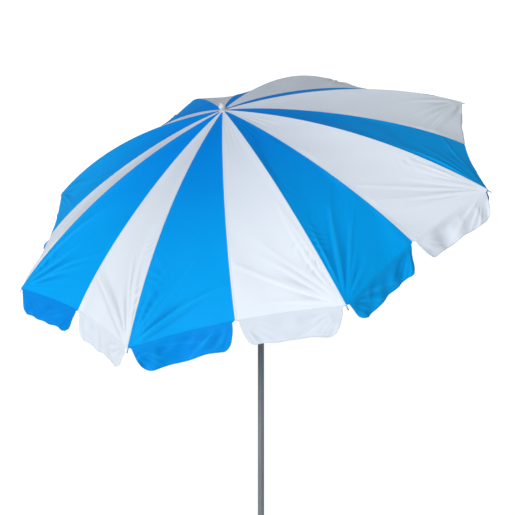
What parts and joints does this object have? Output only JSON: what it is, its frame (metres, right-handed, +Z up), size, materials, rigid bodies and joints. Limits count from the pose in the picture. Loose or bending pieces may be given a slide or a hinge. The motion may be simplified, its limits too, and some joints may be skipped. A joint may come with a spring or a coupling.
{
  "type": "beach umbrella",
  "caption": "Tilting beach umbrella with a round sewn cover on hinged ribs and struts, a sliding runner, a tilt joint and a telescopic pole with a ground spike.",
  "frame": {"origin": "the flat tip of the ground spike, on the axis of the lower pole", "axes": "+Z up along the lower pole, +Y away from the side that the open cover leans towards, +X to the right seen from that side"},
  "size_m": [1.7477, 1.6253, 2.193],
  "materials": {
    "blue_cloth": "satin",
    "white_cloth": "satin",
    "grey_paint": "satin",
    "rib_steel": "satin",
    "bright_steel": "polished",
    "dark_plastic": "matte",
    "white_plastic": "gloss"
  },
  "bodies": {
    "lower_pole": {"lower_pole": "grey_paint", "ground_spike": "dark_plastic", "clamp_collar": "dark_plastic"},
    "thumb_screw": {"thumb_screw": "dark_plastic"},
    "middle_pole": {"middle_pole": "grey_paint", "tilt_fork": "dark_plastic"},
    "tilt_pin": {"tilt_pin": "bright_steel"},
    "tilt_button": {"tilt_button": "dark_plastic"},
    "upper_pole": {"upper_pole": "grey_paint", "tilt_tongue": "dark_plastic", "crown": "white_plastic", "crown_wire": "rib_steel", "top_washer": "white_plastic", "finial": "white_plastic"},
    "runner": {"runner": "white_plastic", "runner_wire": "rib_steel"},
    "runner_catch": {"runner_catch": "rib_steel"},
    "rib_1": {"rib_1": "rib_steel", "rib_tip_1": "bright_steel", "gore_blue_1": "blue_cloth", "gore_white_1": "white_cloth"},
    "rib_2": {"rib_2": "rib_steel", "rib_tip_2": "bright_steel", "gore_blue_2": "blue_cloth", "gore_white_2": "white_cloth"},
    "rib_3": {"rib_3": "rib_steel", "rib_tip_3": "bright_steel", "gore_blue_3": "blue_cloth", "gore_white_3": "white_cloth"},
    "rib_4": {"rib_4": "rib_steel", "rib_tip_4": "bright_steel", "gore_blue_4": "blue_cloth", "gore_white_4": "white_cloth"},
    "rib_5": {"rib_5": "rib_steel", "rib_tip_5": "bright_steel", "gore_blue_5": "blue_cloth", "gore_white_5": "white_cloth"},
    "rib_6": {"rib_6": "rib_steel", "rib_tip_6": "bright_steel", "gore_blue_6": "blue_cloth", "gore_white_6": "white_cloth"},
    "rib_7": {"rib_7": "rib_steel", "rib_tip_7": "bright_steel", "gore_blue_7": "blue_cloth", "gore_white_7": "white_cloth"},
    "rib_8": {"rib_8": "rib_steel", "rib_tip_8": "bright_steel", "gore_blue_8": "blue_cloth", "gore_white_8": "white_cloth"},
    "strut_1": {"strut_1": "rib_steel"},
    "strut_2": {"strut_2": "rib_steel"},
    "strut_3": {"strut_3": "rib_steel"},
    "strut_4": {"strut_4": "rib_steel"},
    "strut_5": {"strut_5": "rib_steel"},
    "strut_6": {"strut_6": "rib_steel"},
    "strut_7": {"strut_7": "rib_steel"},
    "strut_8": {"strut_8": "rib_steel"}
  },
  "joints": [
    {"name": "height_slide", "type": "slide", "parent": "lower_pole", "child": "middle_pole", "axis": [0, 0, 1], "range_m": [-0.32, 0.12]},
    {"name": "clamp_screw", "type": "hinge", "parent": "lower_pole", "child": "thumb_screw", "pos_m": [0.01, 0.01732, 1.092], "axis": [0.5, 0.866, 0], "range_deg": [-90, 360]},
    {"name": "canopy_tilt", "type": "hinge", "parent": "middle_pole", "child": "tilt_pin", "pos_m": [0, 0, 1.5], "axis": [0.8876, -0.4607, 0], "range_deg": [-35.58, 0]},
    {"name": "tilt_button_press", "type": "slide", "parent": "tilt_pin", "child": "tilt_button", "axis": [-0.8876, 0.4607, 0], "range_m": [0, 0.0026], "stiffness_N_per_m": 600},
    {"name": "cover_straighten", "type": "hinge", "parent": "tilt_pin", "child": "upper_pole", "pos_m": [0, 0, 1.5], "axis": [0.8876, -0.4607, 0], "range_deg": [-35.58, 0]},
    {"name": "canopy_fold", "type": "slide", "parent": "upper_pole", "child": "runner", "axis": [0.268, 0.5164, -0.8133], "range_m": [0, 0.26559], "deforming": ["gore_blue_1", "gore_white_1", "gore_blue_2", "gore_white_2", "gore_blue_3", "gore_white_3", "gore_blue_4", "gore_white_4", "gore_blue_5", "gore_white_5", "gore_blue_6", "gore_white_6", "gore_blue_7", "gore_white_7", "gore_blue_8", "gore_white_8", "runner_catch"]},
    {"name": "runner_catch_press", "type": "hinge", "parent": "upper_pole", "child": "runner_catch", "pos_m": [-0.07031, -0.14861, 1.73696], "axis": [0.2038, -0.8555, -0.476], "range_deg": [0, 8], "stiffness_Nm_per_rad": 0.5},
    {"name": "rib_1_turn", "type": "hinge", "parent": "upper_pole", "child": "rib_1", "pos_m": [-0.15435, -0.27006, 1.91456], "axis": [0.325, -0.8432, -0.4283], "range_deg": [0, 64.48]},
    {"name": "rib_2_turn", "type": "hinge", "parent": "upper_pole", "child": "rib_2", "pos_m": [-0.14588, -0.27951, 1.91135], "axis": [0.8711, -0.4905, -0.0244], "range_deg": [0, 64.48]},
    {"name": "rib_3_turn", "type": "hinge", "parent": "upper_pole", "child": "rib_3", "pos_m": [-0.13328, -0.28193, 1.91397], "axis": [0.9069, 0.1495, 0.3938], "range_deg": [0, 64.48]},
    {"name": "rib_4_turn", "type": "hinge", "parent": "upper_pole", "child": "rib_4", "pos_m": [-0.12394, -0.2759, 1.92088], "axis": [0.4115, 0.7019, 0.5813], "range_deg": [0, 64.48]},
    {"name": "rib_5_turn", "type": "hinge", "parent": "upper_pole", "child": "rib_5", "pos_m": [-0.12333, -0.26495, 1.92803], "axis": [-0.325, 0.8432, 0.4283], "range_deg": [0, 64.48]},
    {"name": "rib_6_turn", "type": "hinge", "parent": "upper_pole", "child": "rib_6", "pos_m": [-0.1318, -0.2555, 1.93123], "axis": [-0.8711, 0.4905, 0.0244], "range_deg": [0, 64.48]},
    {"name": "rib_7_turn", "type": "hinge", "parent": "upper_pole", "child": "rib_7", "pos_m": [-0.1444, -0.25309, 1.92861], "axis": [-0.9069, -0.1495, -0.3938], "range_deg": [0, 64.48]},
    {"name": "rib_8_turn", "type": "hinge", "parent": "upper_pole", "child": "rib_8", "pos_m": [-0.15374, -0.25912, 1.92171], "axis": [-0.4115, -0.7019, -0.5813], "range_deg": [0, 64.48]},
    {"name": "strut_1_turn", "type": "hinge", "parent": "rib_1", "child": "strut_1", "pos_m": [-0.32864, -0.28372, 1.80918], "axis": [-0.325, 0.8432, 0.4283], "range_deg": [0, 107.88]},
    {"name": "strut_2_turn", "type": "hinge", "parent": "rib_2", "child": "strut_2", "pos_m": [-0.22028, -0.40454, 1.76818], "axis": [-0.8711, 0.4905, 0.0244], "range_deg": [0, 107.88]},
    {"name": "strut_3_turn", "type": "hinge", "parent": "rib_3", "child": "strut_3", "pos_m": [-0.0592, -0.43543, 1.80165], "axis": [-0.9069, -0.1495, -0.3938], "range_deg": [0, 107.88]},
    {"name": "strut_4_turn", "type": "hinge", "parent": "rib_4", "child": "strut_4", "pos_m": [0.06024, -0.35829, 1.88999], "axis": [-0.4115, -0.7019, -0.5813], "range_deg": [0, 107.88]},
    {"name": "strut_5_turn", "type": "hinge", "parent": "rib_5", "child": "strut_5", "pos_m": [0.06808, -0.21832, 1.98145], "axis": [0.325, -0.8432, -0.4283], "range_deg": [0, 107.88]},
    {"name": "strut_6_turn", "type": "hinge", "parent": "rib_6", "child": "strut_6", "pos_m": [-0.04028, -0.09749, 2.02246], "axis": [0.8711, -0.4905, -0.0244], "range_deg": [0, 107.88]},
    {"name": "strut_7_turn", "type": "hinge", "parent": "rib_7", "child": "strut_7", "pos_m": [-0.20136, -0.0666, 1.98899], "axis": [0.9069, 0.1495, 0.3938], "range_deg": [0, 107.88]},
    {"name": "strut_8_turn", "type": "hinge", "parent": "rib_8", "child": "strut_8", "pos_m": [-0.3208, -0.14374, 1.90065], "axis": [0.4115, 0.7019, 0.5813], "range_deg": [0, 107.88]}
  ],
  "couplings": [
    {"joint": "cover_straighten", "follows": "canopy_fold", "rad_per_m": -2.3382},
    {"joint": "rib_1_turn", "follows": "canopy_fold", "rad_per_m": 4.2373},
    {"joint": "rib_2_turn", "follows": "canopy_fold", "rad_per_m": 4.2373},
    {"joint": "rib_3_turn", "follows": "canopy_fold", "rad_per_m": 4.2373},
    {"joint": "rib_4_turn", "follows": "canopy_fold", "rad_per_m": 4.2373},
    {"joint": "rib_5_turn", "follows": "canopy_fold", "rad_per_m": 4.2373},
    {"joint": "rib_6_turn", "follows": "canopy_fold", "rad_per_m": 4.2373},
    {"joint": "rib_7_turn", "follows": "canopy_fold", "rad_per_m": 4.2373},
    {"joint": "rib_8_turn", "follows": "canopy_fold", "rad_per_m": 4.2373},
    {"joint": "strut_1_turn", "follows": "canopy_fold", "rad_per_m": 7.0895},
    {"joint": "strut_2_turn", "follows": "canopy_fold", "rad_per_m": 7.0895},
    {"joint": "strut_3_turn", "follows": "canopy_fold", "rad_per_m": 7.0895},
    {"joint": "strut_4_turn", "follows": "canopy_fold", "rad_per_m": 7.0895},
    {"joint": "strut_5_turn", "follows": "canopy_fold", "rad_per_m": 7.0895},
    {"joint": "strut_6_turn", "follows": "canopy_fold", "rad_per_m": 7.0895},
    {"joint": "strut_7_turn", "follows": "canopy_fold", "rad_per_m": 7.0895},
    {"joint": "strut_8_turn", "follows": "canopy_fold", "rad_per_m": 7.0895}
  ]
}
